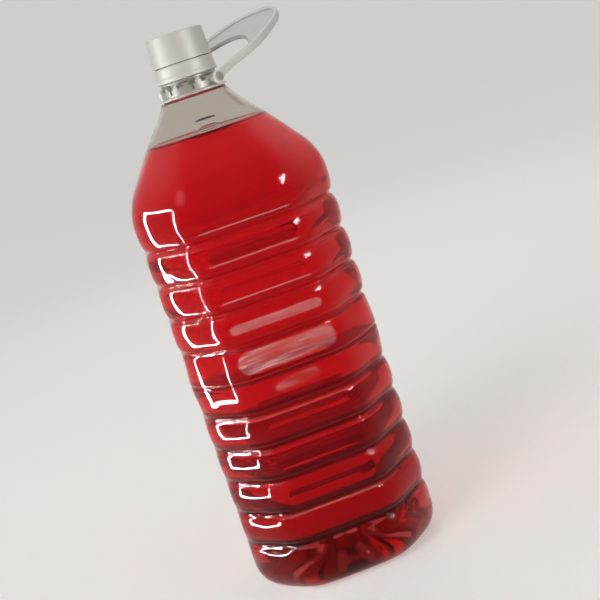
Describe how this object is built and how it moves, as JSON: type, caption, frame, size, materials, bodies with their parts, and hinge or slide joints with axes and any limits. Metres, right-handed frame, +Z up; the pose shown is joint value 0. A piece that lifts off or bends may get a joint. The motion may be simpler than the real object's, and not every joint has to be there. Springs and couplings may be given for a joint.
{
  "type": "large plastic drinks bottle",
  "caption": "Large ribbed clear plastic bottle of chamfered square section, filled with red liquid, with a white screw cap, a tamper band and a folding neck handle.",
  "frame": {"origin": "middle of the base, on the surface that the bottle stands on", "axes": "+Z up along the bottle's axis; the front face looks along -Y; the handle points over the corner between +X and +Y"},
  "size_m": [0.1429, 0.1429, 0.3727],
  "materials": {
    "clear_plastic": "clear blown polyester, glossy",
    "red_liquid": "clear deep red liquid",
    "white_plastic": "satin moulded plastic, warm white",
    "liner_foam": "matte foamed sealing disc",
    "natural_plastic": "translucent natural moulded plastic, satin"
  },
  "bodies": {
    "bottle": {"bottle": "clear_plastic", "liquid": "red_liquid", "tamper_band": "white_plastic"},
    "collar": {"handle_collar": "natural_plastic"},
    "handle": {"handle": "natural_plastic"},
    "cap_disc": {"cap_liner": "liner_foam"},
    "cap": {"screw_cap": "white_plastic"}
  },
  "joints": [
    {"name": "collar_swivel", "type": "hinge", "parent": "bottle", "child": "collar", "pos_m": [0, 0, 0.335], "axis": [0, 0, 1], "continuous": true},
    {"name": "handle_swing", "type": "hinge", "parent": "collar", "child": "handle", "pos_m": [0, 0, 0.3356], "axis": [0.7071, -0.7071, 0], "range_deg": [-55, 195]},
    {"name": "cap_lift", "type": "slide", "parent": "bottle", "child": "cap_disc", "axis": [0, 0, 1], "range_m": [0, 0.0168]},
    {"name": "cap_turn", "type": "hinge", "parent": "cap_disc", "child": "cap", "pos_m": [0, 0, 0.36], "axis": [0, 0, 1], "range_deg": [0, 1440]}
  ],
  "couplings": [
    {"joint": "cap_lift", "follows": "cap_turn", "m_per_rad": 0.00066845}
  ]
}
